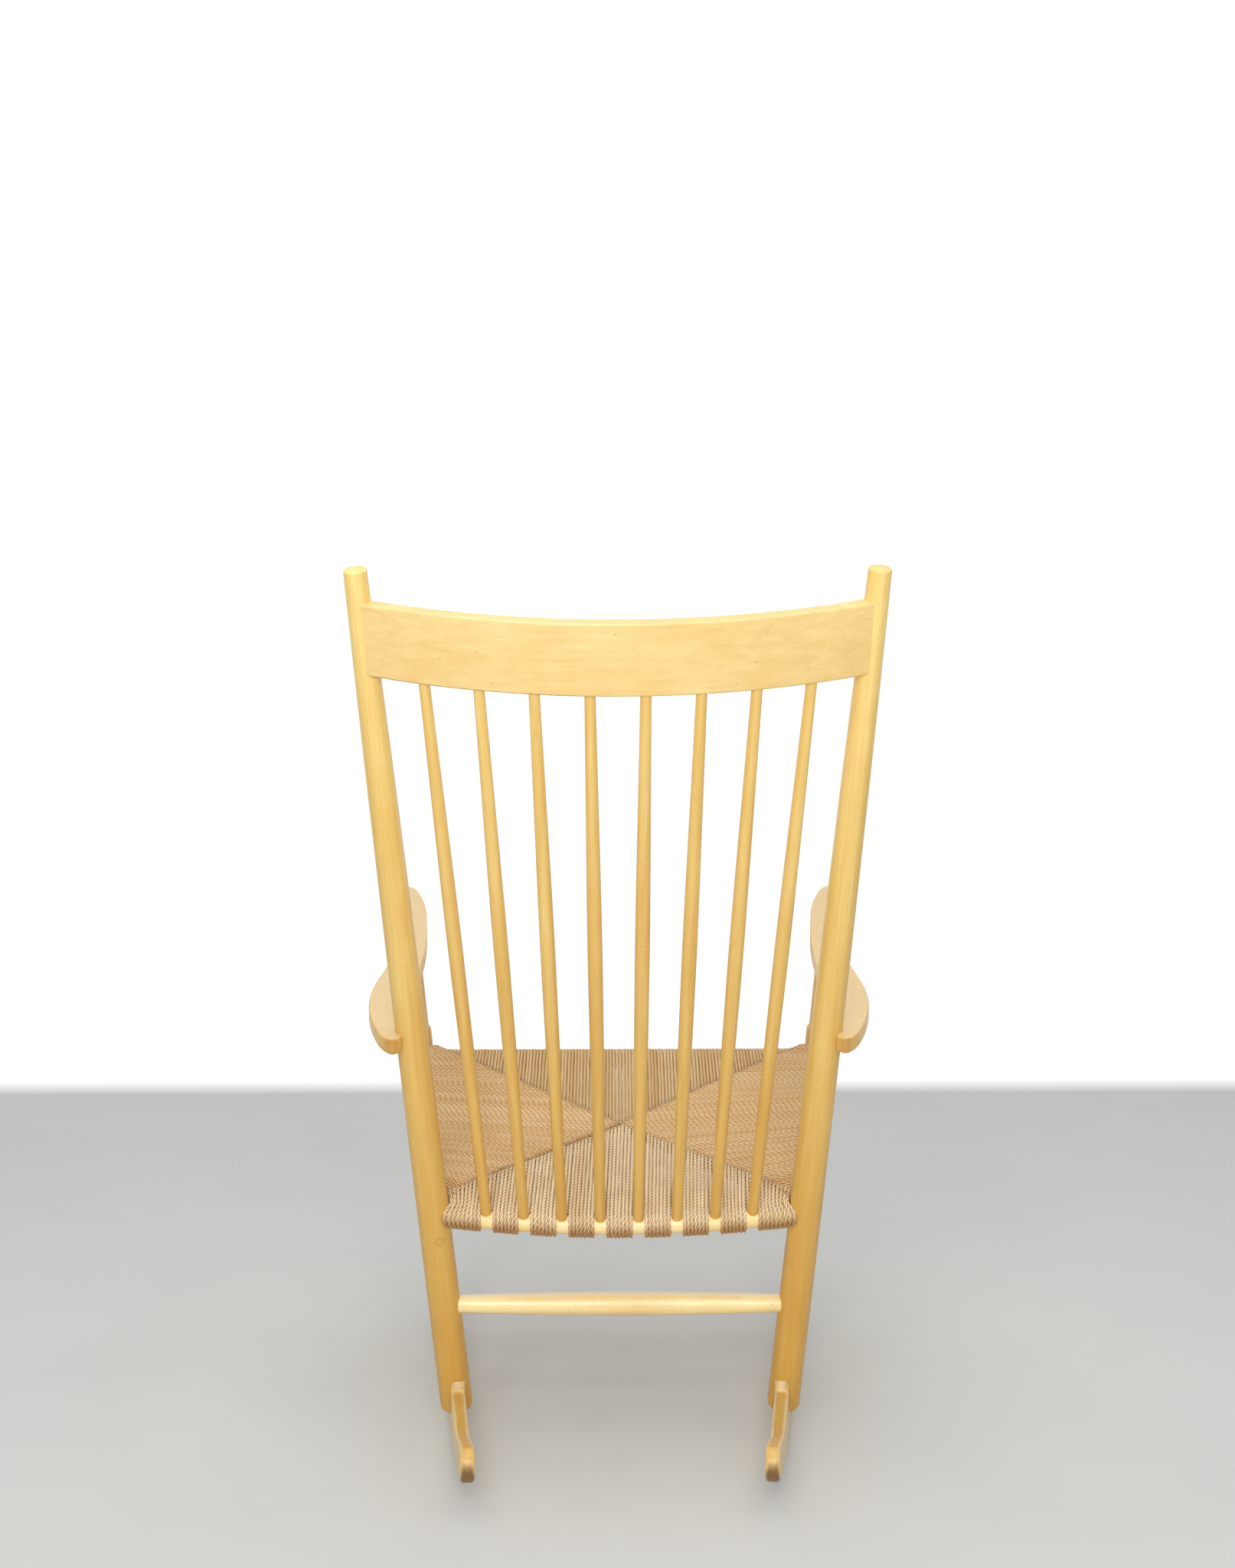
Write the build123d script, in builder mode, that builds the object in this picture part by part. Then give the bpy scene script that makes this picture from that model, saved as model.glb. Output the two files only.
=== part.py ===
from build123d import *
from math import atan2, cos, radians, sin, sqrt, tan
import os

# Spindle-back rocking chair in turned beech, with a seat woven in paper cord.
# It faces -Y, +Z is up, and the origin is on the floor at the middle of its footprint.
# It stands as the empty chair balances: the rockers touch the floor under its centre of mass.
# "left" is the sitter's left, on the +X side.

# ---------------------------------------------------------------- driving dimensions, mm
overall_height = 1075          # floor to the tops of the back posts

back_rake = 16.0               # degrees from upright
post_foot_spacing = 396
post_top_spacing = 572
rear_foot_height = 37          # middle of the foot's end, above the floor
post_foot_radius = 19.5
post_seat_radius = 19.2
post_arm_radius = 17.1
post_top_radius = 13.1
post_crown = 3                 # rise of the domed top
foot_rounding = 5
post_seat_share = 0.24         # of a post's length, up to where the seat's radius is taken
post_arm_share = 0.66          # and up to where the arms' radius is taken

crest_height = 84
crest_thickness = 17
crest_bow = 64                 # how far the middle stands behind the ends
crest_below_top = 37           # of the post, along the post
crest_setback = 13             # rear face of its ends, behind the posts' axes
crest_edge = 2.2
crest_tenon_thickness = 8
crest_tenon_height = 62
crest_tenon_past_axis = 4
crest_board_stop = 1           # how far short of the posts' axes the full board ends

spindle_count = 8
spindle_pitch_low = 44.8       # along the rear seat rail
spindle_pitch_high = 60.4      # along the crest rail
spindle_top_radius = 6.2
spindle_swell_radius = 8.5
spindle_foot_radius = 6.35
spindle_tenon_radius = 4.6
spindle_tenon_high = 16        # depth of its hole in the crest rail
spindle_tenon_low = 5          # how far past the rear rail's axis it goes
spindle_socket = 1             # how far its full diameter is let in

rear_rail_height = 294.5       # of its axis, where it meets the posts
rear_rail_radius = 10.25
rear_rail_bow = 28
rear_rail_straight = 32        # length that isn't bent, from the post's axis
seat_slope = 13.0              # degrees, of the plane that the rear rail bows in

seat_depth = 358               # rear feet to front seat rail
front_rail_height = 372.5
front_rail_radius = 11
side_rail_front_height = 381.5
side_rail_rear_height = 314
side_rail_radius = 11
rail_tenon_radius = 7

leg_foot_spacing = 476
leg_arm_spacing = 566
leg_arm_height = 575
leg_slant = 0.054              # rearward, per mm up
leg_foot_radius = 16.5
leg_radius = 18
leg_neck_radius = 15           # above the shoulder
leg_top_radius = 14.2
leg_shoulder_height = 419
leg_shoulder_length = 9
leg_tenon_radius = 10
leg_tenon_depth = 14           # in the arm

rear_stretcher_height = 175
front_stretcher_height = 182
side_stretcher_rear_height = 214
side_stretcher_front_height = 224
stretcher_end_radius = 10.5
stretcher_middle_radius = 13.75
stretcher_tenon_radius = 8

socket = 2.5                   # how far a bar's full diameter is let into its post or leg
tenon_stop = 6                 # how far short of the post's or leg's axis a tenon ends

arm_thickness = 19
arm_rise = 0.111               # of its top, per mm forward
arm_rear_height = 526          # of its top, at its rear end
arm_rear_overhang = 172        # rear feet to its rear end
arm_front_overhang = 87        # front legs to its nose
arm_post_offset = 5.6          # its inner edge, outside a back post's axis
arm_rear_width = 52
arm_waist_width = 42
arm_leg_offset = 29            # its outer edge near the nose, outside a front leg's axis
arm_top_edge = 2
arm_bottom_edge = 4
arm_rounding_off = 17          # its outer edge turns in by this much beside the post

screw_length = 42
screw_radius = 2.5
screw_head_radius = 4.5
screw_head_height = 3
screw_point = 2
plug_radius = 5
plug_length = 6

rocker_thickness = 17
rocker_radius = 1200           # of the underside
balance_reach = 53             # rear feet to the line that the empty chair stands on
rocker_rear_overhang = 254     # rear feet to its rear end
rocker_front_overhang = 246.5  # front feet to its nose
front_foot_lift = 33.3         # its underside to the end of a front leg
rocker_end_height = 42         # depth of the wood at its rounded ends
rocker_end_length = 40         # straight stretch behind an end's rounding
rocker_scoop_height = 34       # where the wood is shallowest
rocker_scoop_reach = 112        # that place, in from the tips
rocker_middle_height = 40      # halfway between the feet
rocker_shoulder_height = 61.5  # beside the feet
rocker_shoulder_run = 4
rocker_shoulder_sweep = 6      # radius of the curve up to a foot
rocker_scoop_sweep = 150
rocker_crown_sweep = 120
rocker_middle_sweep = 400
rocker_edge = 4.8
tongue_inset = 0.5             # of the rocker's tongue, in from a foot's surface
slot_depth = 40                # of the slots in the feet that the rockers stand in
pin_radius = 4
crest_pin_radius = 3

cord = 4.4                     # diameter of the paper cord
weave_thickness = 12           # at the middle of the seat
seat_middle_reach = 137        # rear feet to the middle of the seat
seat_middle_height = 341       # middle of the weave's thickness there
bare_gap = 14                  # length of rear rail left bare at each spindle
weave_clearance = 1.0          # between the weave and the posts
gap_front = 12.3               # how far ahead of the rear rail's axis its bare gaps reach
quarter_reach = 1.2            # how far past the corners the seat's seams are taken

sides = {1: "left", -1: "right"}

# ---------------------------------------------------------------- axes of posts and legs
rake = radians(back_rake)
post_rise = overall_height - rear_foot_height
post_length = post_rise / cos(rake)
post_splay = (post_top_spacing - post_foot_spacing) / 2 / post_length
crest_top = post_length - crest_below_top
crest_overhang = crest_top * sin(rake) + (crest_setback + crest_bow) * cos(rake)
leg_floor_reach = seat_depth + leg_slant * front_rail_height
underside_drop = sqrt(rocker_radius**2 - (leg_floor_reach - balance_reach) ** 2)
front_foot_height = rocker_radius - underside_drop + front_foot_lift
nose_reach = leg_floor_reach - leg_slant * front_foot_height + rocker_front_overhang
rear_foot_y = (nose_reach - crest_overhang) / 2
up_back = Vector(0, sin(rake), cos(rake))
rearward = Vector(0, cos(rake), -sin(rake))
up = Vector(0, 0, 1)


def post_axis(side, distance):
    """A point on a back post's axis, by its distance up the back from the feet."""
    x = side * (post_foot_spacing / 2 + post_splay * distance)
    return Vector(x, rear_foot_y, rear_foot_height) + up_back * distance


def post_axis_at(side, height):
    """A point on a back post's axis, by its height above the floor."""
    return post_axis(side, (height - rear_foot_height) / cos(rake))


leg_splay = (leg_arm_spacing - leg_foot_spacing) / 2 / (leg_arm_height - front_foot_height)


def leg_axis_at(side, height):
    """A point on a front leg's axis, by its height above the floor."""
    x = side * (leg_foot_spacing / 2 + leg_splay * (height - front_foot_height))
    return Vector(x, rear_foot_y - seat_depth + leg_slant * (height - front_rail_height), height)


def arm_top_at(y):
    """Height of the arms' sloping tops."""
    return arm_rear_height + arm_rise * (rear_foot_y + arm_rear_overhang - y)


off_axis = Vector(0.3, 1, 0.2)  # a direction that no turned piece lies along


def turning_plane(start, end):
    """The plane that a turned piece's outline is drawn on: X along its axis, Y its radius."""
    direction = (end - start).normalized()
    return Plane(origin=start, x_dir=direction, z_dir=direction.cross(off_axis))


# ---------------------------------------------------------------- turned blanks
def post_blank(side, extra=0):
    """A back post before its mortises are cut, or the same grown by a clearance."""
    start, end = post_axis(side, 0), post_axis(side, post_length)
    length = (end - start).length
    foot, top = post_foot_radius + extra, post_top_radius + extra
    side_line = [
        (foot_rounding, foot), (post_seat_share * length, post_seat_radius + extra),
        (post_arm_share * length, post_arm_radius + extra), (length - post_crown, top),
    ]
    with BuildPart() as blank:
        with BuildSketch(turning_plane(start, end)):
            with BuildLine():
                Polyline((length, 0), (0, 0), (0, foot - foot_rounding))
                RadiusArc((0, foot - foot_rounding), (foot_rounding, foot), foot_rounding)
                Spline(*side_line)
                Spline((length - post_crown, top), (length - 0.4 * post_crown, 0.8 * top), (length, 0),
                       tangents=((1, -0.3), (0, -1)))
            make_face()
        revolve(axis=Axis(start, end - start))
    return blank.part


def leg_blank(side, extra=0):
    """A front leg with its top tenon, before its mortises are cut, or the same grown."""
    start = leg_axis_at(side, front_foot_height)
    arm_underside = arm_top_at(leg_axis_at(side, leg_arm_height).Y) - arm_thickness
    length = (leg_axis_at(side, arm_underside) - start).length
    shoulder = (leg_axis_at(side, leg_shoulder_height) - start).length
    foot, body, neck = leg_foot_radius + extra, leg_radius + extra, leg_neck_radius + extra
    end = leg_axis_at(side, arm_underside)
    with BuildPart() as blank:
        with BuildSketch(turning_plane(start, end)):
            with BuildLine():
                Polyline((length + leg_tenon_depth, 0), (0, 0), (0, foot - foot_rounding))
                RadiusArc((0, foot - foot_rounding), (foot_rounding, foot), foot_rounding)
                Line((foot_rounding, foot), (shoulder - leg_shoulder_length, body))
                Spline(
                    (shoulder - leg_shoulder_length, body), (shoulder, neck),
                    tangents=((1, 0), (0.35, -1)),
                )
                Polyline(
                    (shoulder, neck), (length + socket, leg_top_radius + extra),
                    (length + socket, leg_tenon_radius), (length + leg_tenon_depth, leg_tenon_radius),
                    (length + leg_tenon_depth, 0),
                )
            make_face()
        revolve(axis=Axis(start, end - start))
    return blank.part


def turned_bar(start, end, radii, tenon_radius, tenon_ends, shoulders):
    """A bar turned about the line from start to end, with a round tenon at each end.
    The body's radii are evenly spaced. Tenon ends and shoulders are distances in from
    start and from end."""
    length = (end - start).length
    first, last = shoulders[0], length - shoulders[1]
    low, high = tenon_ends[0], length - tenon_ends[1]
    step = (last - first) / (len(radii) - 1)
    body = [(first + i * step, radius) for i, radius in enumerate(radii)]
    with BuildPart() as bar:
        with BuildSketch(turning_plane(start, end)):
            with BuildLine():
                Polyline((first, radii[0]), (first, tenon_radius), (low, tenon_radius), (low, 0))
                Line((low, 0), (high, 0))
                Polyline((high, 0), (high, tenon_radius), (last, tenon_radius), (last, radii[-1]))
                Spline(*body) if len(radii) > 2 else Line(*body)
            make_face()
        revolve(axis=Axis(start, end - start))
    return bar.part


post_blanks = {side: post_blank(side) for side in sides}
leg_blanks = {side: leg_blank(side) for side in sides}

# ---------------------------------------------------------------- front and side seat rails, stretchers
tenon_ends = (tenon_stop, tenon_stop)
leg_shoulder = leg_foot_radius - socket
post_shoulder = post_seat_radius - socket
leg_to_post = (leg_shoulder, post_shoulder)
stretcher_radii = (stretcher_end_radius, stretcher_middle_radius, stretcher_end_radius)

with BuildPart() as front_seat_rail:
    add(turned_bar(
        leg_axis_at(1, front_rail_height), leg_axis_at(-1, front_rail_height),
        (front_rail_radius, front_rail_radius), rail_tenon_radius,
        tenon_ends, (leg_shoulder, leg_shoulder),
    ))
with BuildPart() as rear_stretcher:
    add(turned_bar(
        post_axis_at(1, rear_stretcher_height), post_axis_at(-1, rear_stretcher_height),
        stretcher_radii, stretcher_tenon_radius, tenon_ends, (post_shoulder, post_shoulder),
    ))
with BuildPart() as front_stretcher:
    add(turned_bar(
        leg_axis_at(1, front_stretcher_height), leg_axis_at(-1, front_stretcher_height),
        stretcher_radii, stretcher_tenon_radius, tenon_ends, (leg_shoulder, leg_shoulder),
    ))

side_seat_rails, side_stretchers = {}, {}
for side in sides:
    with BuildPart() as side_seat_rail:
        add(turned_bar(
            leg_axis_at(side, side_rail_front_height), post_axis_at(side, side_rail_rear_height),
            (side_rail_radius, side_rail_radius), rail_tenon_radius, tenon_ends, leg_to_post,
        ))
    side_seat_rails[side] = side_seat_rail
    with BuildPart() as side_stretcher:
        add(turned_bar(
            leg_axis_at(side, side_stretcher_front_height),
            post_axis_at(side, side_stretcher_rear_height),
            stretcher_radii, stretcher_tenon_radius, tenon_ends, leg_to_post,
        ))
    side_stretchers[side] = side_stretcher

# ---------------------------------------------------------------- curves of the rear and crest rails
slope = radians(seat_slope)
rail_ends = {side: post_axis_at(side, rear_rail_height) for side in sides}
rail_middle = (rail_ends[1] + rail_ends[-1]) / 2 + Vector(0, cos(slope), -sin(slope)) * rear_rail_bow
rail_arc = Edge.make_three_point_arc(rail_ends[1], rail_middle, rail_ends[-1])

crest_low = crest_top - crest_height
crest_half_span = post_axis(1, crest_low + crest_height / 2).X
crest_outer_radius = (crest_half_span**2 + crest_bow**2) / (2 * crest_bow)
crest_middle_radius = crest_outer_radius - crest_thickness / 2
crest_arc_centre = crest_setback + crest_bow - crest_outer_radius
back_origin = Vector(0, rear_foot_y, rear_foot_height)
crest_plane = Plane(origin=back_origin + up_back * crest_low, x_dir=(1, 0, 0), z_dir=up_back)


def crest_point(x):
    """The middle of the crest rail's lower edge, by its distance from the middle of the chair."""
    behind = crest_arc_centre + sqrt(crest_middle_radius**2 - x**2)
    return crest_plane.origin + Vector(x, 0, 0) + rearward * behind


# ---------------------------------------------------------------- spindles
spindle_radii = (
    spindle_foot_radius, 0.45 * spindle_foot_radius + 0.55 * spindle_swell_radius,
    spindle_swell_radius, 0.4 * spindle_top_radius + 0.6 * spindle_swell_radius, spindle_top_radius,
)
rail_points, spindles = [], []
for number in range(spindle_count):
    offset = (spindle_count - 1) / 2 - number
    rail_points.append(rail_arc @ (0.5 - offset * spindle_pitch_low / rail_arc.length))
    head = crest_point(offset * spindle_pitch_high)
    foot = rail_points[-1] - (head - rail_points[-1]).normalized() * spindle_tenon_low
    with BuildPart() as spindle:
        add(turned_bar(
            foot, head, spindle_radii, spindle_tenon_radius, (0, -spindle_tenon_high),
            (spindle_tenon_low + rear_rail_radius - spindle_socket, -spindle_socket),
        ))
    spindles.append(spindle)

# ---------------------------------------------------------------- rear seat rail
with BuildPart() as rear_seat_rail:
    straight_share = rear_rail_straight / rail_arc.length
    bend = rail_arc.trim(straight_share, 1 - straight_share)
    with BuildSketch(Plane(origin=bend @ 0, z_dir=bend % 0)):
        Circle(rear_rail_radius)
    sweep(path=bend)
    for straight_start, outward in ((bend @ 0, -(bend % 0)), (bend @ 1, bend % 1)):
        end_plane = Plane(origin=straight_start, z_dir=outward)
        with BuildSketch(end_plane):
            Circle(rear_rail_radius)
        extrude(amount=rear_rail_straight - post_shoulder)
        with BuildSketch(end_plane):
            Circle(rail_tenon_radius)
        extrude(amount=rear_rail_straight - tenon_stop)
    add([spindle.part for spindle in spindles], mode=Mode.SUBTRACT)


# ---------------------------------------------------------------- crest rail
def bowed_board(plane, thickness, height):
    """A board bowed like the crest rail, from its lower edge's plane up, and over-long."""
    with BuildPart() as board:
        with BuildSketch(plane):
            with Locations((0, crest_arc_centre)):
                Circle(crest_middle_radius + thickness / 2)
                Circle(crest_middle_radius - thickness / 2, mode=Mode.SUBTRACT)
            with Locations((0, crest_arc_centre + crest_middle_radius)):
                Rectangle(2.3 * crest_half_span, 4 * crest_bow, mode=Mode.INTERSECT)
        extrude(amount=height)
    return board.part


def crest_end(side, past_axis):
    """The plane across an end of the crest rail, in line with a post's axis or past it."""
    start = post_axis(side, 0) + Vector(side * past_axis, 0, 0)
    outward = rearward.cross(post_axis(side, post_length) - post_axis(side, 0))
    return Plane(origin=start, z_dir=outward if outward.X * side > 0 else -outward)


with BuildPart() as crest_rail:
    add(bowed_board(crest_plane, crest_thickness, crest_height))
    fillet(edges().filter_by(GeomType.CIRCLE), crest_edge)
    for side in sides:
        split(bisect_by=crest_end(side, -crest_board_stop), keep=Keep.BOTTOM)
    add(list(post_blanks.values()), mode=Mode.SUBTRACT)
    tenon_plane = crest_plane.offset((crest_height - crest_tenon_height) / 2)
    add(bowed_board(tenon_plane, crest_tenon_thickness, crest_tenon_height))
    for side in sides:
        split(bisect_by=crest_end(side, crest_tenon_past_axis), keep=Keep.BOTTOM)
    add([spindle.part for spindle in spindles], mode=Mode.SUBTRACT)

crest_pin_parts = {}
for side in sides:
    tenon_middle = crest_setback - crest_thickness / 2
    inner_end = post_axis(side, crest_low + crest_height / 2) + rearward * tenon_middle
    with BuildPart() as crest_pin:
        with BuildSketch(Plane(origin=inner_end, z_dir=-rearward)):
            Circle(crest_pin_radius)
        extrude(amount=2 * post_foot_radius)
        add(post_blanks[side], mode=Mode.INTERSECT)
    crest_pin_parts[side] = crest_pin.part
with BuildPart() as crest_pins:
    add(list(crest_pin_parts.values()))

# ---------------------------------------------------------------- rockers
rear_foot = {side: post_axis(side, 0) for side in sides}
front_foot = {side: leg_axis_at(side, front_foot_height) for side in sides}
foot_to_foot = rear_foot[1] - front_foot[1]
feet_apart = sqrt(foot_to_foot.X**2 + foot_to_foot.Y**2)
toe_in = feet_apart / foot_to_foot.Y  # length along a rocker, per mm of depth
balance_run = -balance_reach * toe_in
nose_run = -nose_reach * toe_in


def rocker_plane(side):
    """The upright middle plane of a rocker: X runs rearward from the rear foot, Y is up."""
    run = rear_foot[side] - front_foot[side]
    along = Vector(run.X, run.Y, 0).normalized()
    origin = Vector(rear_foot[side].X, rear_foot[side].Y, 0)
    return Plane(origin=origin, x_dir=along, z_dir=along.cross(up))


def over_underside(run, depth):
    """A point of a rocker's outline, by its place along the rocker and the wood's depth."""
    return (run, rocker_radius - sqrt(rocker_radius**2 - (run - balance_run) ** 2) + depth)


def slot_roof(foot_place, foot_height, slant, radius):
    """The two upper corners of the slot in a foot, front one first."""
    middle, height = foot_place + slot_depth * slant * toe_in, foot_height + slot_depth
    half = radius - tongue_inset
    return (middle - half, height), (middle + half, height)


def rocker_end(corner, tip, way):
    """Outline from a slot's corner over the scoop to the rounding, and round the end."""
    radius = rocker_end_height / 2
    centre_run = tip - way * radius
    drop = sqrt((rocker_radius - radius) ** 2 - (centre_run - balance_run) ** 2)
    centre = Vector(centre_run, rocker_radius - drop)
    inward = (Vector(balance_run, rocker_radius) - centre).normalized()
    outward = Vector(inward.Y, -inward.X) * way
    top = centre + inward * radius
    top_line = [
        corner,
        over_underside(corner[0] + way * rocker_shoulder_run, rocker_shoulder_height),
        over_underside(tip - way * rocker_scoop_reach, rocker_scoop_height),
        top - outward * rocker_end_length,
        top,
    ]
    return top_line, (top, centre + outward * radius, centre - inward * radius)


rear_roof = slot_roof(0, rear_foot_height, tan(rake), post_foot_radius / cos(rake))
front_roof = slot_roof(-feet_apart, front_foot_height, leg_slant, leg_foot_radius)
rear_top, rear_round = rocker_end(rear_roof[1], rocker_rear_overhang, 1)
front_top, front_round = rocker_end(front_roof[0], nose_run, -1)
between_feet = [
    rear_roof[0],
    over_underside(rear_roof[0][0] - rocker_shoulder_run, rocker_shoulder_height),
    over_underside((rear_roof[0][0] + front_roof[1][0]) / 2, rocker_middle_height),
    over_underside(front_roof[1][0] + rocker_shoulder_run, rocker_shoulder_height),
    front_roof[1],
]
shoulder_falls = [
    line[0][1] - line[1][1] for line in (rear_top, front_top, between_feet, between_feet[::-1])
]
shoulder_sweep = min(rocker_shoulder_sweep, *shoulder_falls)
end_sweeps = [shoulder_sweep, rocker_scoop_sweep, rocker_crown_sweep]
middle_sweeps = [shoulder_sweep, rocker_middle_sweep, shoulder_sweep]

slots, foot_pins, rockers = {}, {}, {}
for side in sides:
    plane = rocker_plane(side)
    slots[side], foot_pins[side] = [], []
    for blank, roof in ((post_blanks[side], rear_roof), (leg_blanks[side], front_roof)):
        middle = (roof[0][0] + roof[1][0]) / 2
        with BuildPart() as slot:
            with BuildSketch(plane):
                with Locations((middle, roof[0][1] - slot_depth)):
                    Rectangle(4 * post_foot_radius, 2 * slot_depth)
            extrude(amount=rocker_thickness / 2, both=True)
        slots[side].append(slot.part)
        with BuildPart() as foot_pin:
            with BuildSketch(plane):
                with Locations((middle, roof[0][1] - slot_depth / 2)):
                    Circle(pin_radius)
            extrude(amount=2 * post_foot_radius, both=True)
            add(blank, mode=Mode.INTERSECT)
        foot_pins[side].append(foot_pin.part)

    with BuildPart() as rocker:
        with BuildSketch(plane):
            with BuildLine():
                FilletPolyline(*rear_top, radius=end_sweeps)
                ThreePointArc(*rear_round)
                Line(rear_roof[1], rear_roof[0])
                FilletPolyline(*between_feet, radius=middle_sweeps)
                Line(front_roof[1], front_roof[0])
                FilletPolyline(*front_top, radius=end_sweeps)
                ThreePointArc(*front_round)
                ThreePointArc(front_round[-1], over_underside(balance_run, 0), rear_round[-1])
            make_face()
        extrude(amount=rocker_thickness / 2, both=True)
        tongue_tops = faces().filter_by(Axis.Z).edges()
        flanks = faces().filter_by(Axis((0, 0, 0), plane.z_dir)).edges()
        fillet([edge for edge in flanks if edge not in tongue_tops], rocker_edge)
        add(foot_pins[side], mode=Mode.SUBTRACT)
    rockers[side] = rocker

with BuildPart() as rocker_pins:
    add(foot_pins[1] + foot_pins[-1])

# ---------------------------------------------------------------- arms
arm_slant = sqrt(1 + arm_rise**2)
arm_inner = post_axis_at(1, arm_rear_height).X + arm_post_offset
arm_front_outer = leg_axis_at(1, leg_arm_height).X + arm_leg_offset
arm_rear_outer = arm_inner + arm_rear_width
arm_waist_outer = arm_inner + arm_waist_width
arm_front_reach = rear_foot_y - leg_axis_at(1, leg_arm_height).Y + arm_front_overhang
arm_outline = [
    (arm_inner + 5, -arm_rear_overhang + 12), (arm_inner + 2, -70), (arm_inner, 0.154 * arm_front_reach),
    (arm_inner - 1, 0.415 * arm_front_reach), (arm_inner + 6, 0.67 * arm_front_reach),
    (arm_front_outer - 45, arm_front_reach - 36), (arm_front_outer - 25, arm_front_reach),
    (arm_front_outer - 7, arm_front_reach - 16), (arm_front_outer, arm_front_reach - 64),
    (arm_front_outer - 7, 0.67 * arm_front_reach), (arm_waist_outer + 4, 0.438 * arm_front_reach),
    (arm_waist_outer, 0.242 * arm_front_reach), (arm_rear_outer - 2.5, 40), (arm_rear_outer, -47),
    (arm_rear_outer - arm_rounding_off, -137),
    (arm_inner + 25, -arm_rear_overhang + 11), (arm_inner + 14, -arm_rear_overhang + 1.5),
]
forward_up = Vector(0, -1, arm_rise).normalized()
arm_plane = Plane(
    origin=(0, rear_foot_y, arm_top_at(rear_foot_y)), x_dir=(1, 0, 0),
    z_dir=Vector(1, 0, 0).cross(forward_up),
)
arm_middle_at_rear_foot = arm_top_at(rear_foot_y) - arm_thickness / 2
screw_height = (
    (arm_middle_at_rear_foot + arm_rise * rear_foot_height * tan(rake)) / (1 + arm_rise * tan(rake))
)
screw_outer = arm_rear_outer - arm_rounding_off

arm_screw_parts, arm_plug_parts, armrests = {}, {}, {}
for side in sides:
    with BuildPart() as arm_blank:
        with BuildSketch(arm_plane):
            with BuildLine():
                Spline(*[(side * x, ahead * arm_slant) for x, ahead in arm_outline], periodic=True)
            make_face()
        extrude(amount=arm_thickness)
        fillet(faces().filter_by(GeomType.PLANE).sort_by(Axis.Z)[-1].edges(), arm_top_edge)
        fillet(faces().filter_by(GeomType.PLANE).sort_by(Axis.Z)[0].edges(), arm_bottom_edge)

    crossing = post_axis_at(side, screw_height)
    screw_plane = Plane(
        origin=(side * screw_outer, crossing.Y, crossing.Z), x_dir=(0, 1, 0), z_dir=(-side, 0, 0)
    )
    with BuildPart() as arm_plug:
        with BuildSketch(screw_plane):
            Circle(plug_radius)
        extrude(amount=plug_length)
        with BuildSketch(screw_plane):
            Circle(plug_radius)
        extrude(amount=-2 * plug_length)
        add(arm_blank.part, mode=Mode.INTERSECT)
    with BuildPart() as arm_screw:
        with BuildSketch(screw_plane.offset(plug_length)):
            Circle(screw_head_radius)
        extrude(amount=screw_head_height)
        with BuildSketch(screw_plane.offset(plug_length)):
            Circle(screw_radius)
        extrude(amount=screw_length)
        fillet(faces().sort_by(Axis.X)[0 if side > 0 else -1].edges(), screw_point)
    arm_plug_parts[side], arm_screw_parts[side] = arm_plug.part, arm_screw.part

    with BuildPart() as armrest:
        add(arm_blank.part)
        add([post_blanks[side], leg_blanks[side]], mode=Mode.SUBTRACT)
        add([arm_plug.part, arm_screw.part], mode=Mode.SUBTRACT)
    armrests[side] = armrest

with BuildPart() as arm_screws:
    add(list(arm_screw_parts.values()))
with BuildPart() as arm_plugs:
    add(list(arm_plug_parts.values()))

# ---------------------------------------------------------------- posts and legs, mortised
def mortised(blank, let_in):
    """A post or a leg with room cut for each piece that is let into it."""
    for piece in let_in:
        blank = blank - piece
    return blank


with BuildPart() as back_post:
    add(mortised(post_blanks[1], (
        crest_rail.part, crest_pin_parts[1], rear_seat_rail.part, rear_stretcher.part,
        side_seat_rails[1].part, side_stretchers[1].part, arm_screw_parts[1],
        slots[1][0], foot_pins[1][0],
    )))
with BuildPart() as front_leg:
    add(mortised(leg_blanks[1], (
        front_seat_rail.part, front_stretcher.part, side_seat_rails[1].part,
        side_stretchers[1].part, slots[1][1], foot_pins[1][1],
    )))
with BuildPart() as right_back_post:
    add(back_post.part.mirror(Plane.YZ))
with BuildPart() as right_front_leg:
    add(front_leg.part.mirror(Plane.YZ))

with BuildPart() as pinned_crest_rail:
    add(crest_rail.part)
    add(crest_pins.part, mode=Mode.SUBTRACT)

# ---------------------------------------------------------------- woven seat
# The cord runs round each rail and to the middle of the seat, so each quarter is as thick as
# a wrapped rail at its outer side and thins to the middle.
seat_middle = Vector(0, rear_foot_y - seat_middle_reach, seat_middle_height)
rear_corner_height = (rear_rail_height + side_rail_rear_height) / 2
front_corner_height = (front_rail_height + side_rail_front_height) / 2
rear_corners = {side: post_axis_at(side, rear_corner_height) for side in sides}
front_corners = {side: leg_axis_at(side, front_corner_height) for side in sides}
grown = [post_blank(side, weave_clearance) for side in sides]
grown += [leg_blank(side, weave_clearance) for side in sides]


def quarter(first, second):
    """An upright prism over the quarter of the seat between two of its corners."""
    beyond = [seat_middle + (corner - seat_middle) * quarter_reach for corner in (first, second)]
    outline = [(point.X, point.Y) for point in (seat_middle, beyond[0], beyond[1])]
    with BuildPart() as prism:
        with BuildSketch(Plane.XY):
            with BuildLine():
                Polyline(*outline, close=True)
            make_face()
        extrude(amount=arm_rear_height)
    return prism.part


def wrapped_rail(plane, rail_radius, reach):
    """The cord's section across a rail, out to the middle of the seat, drawn on a plane."""
    with BuildSketch(plane) as section:
        Circle(rail_radius + cord)
        with Locations((reach, 0)):
            Circle(weave_thickness / 2)
        make_hull()
    return section.sketch


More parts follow.
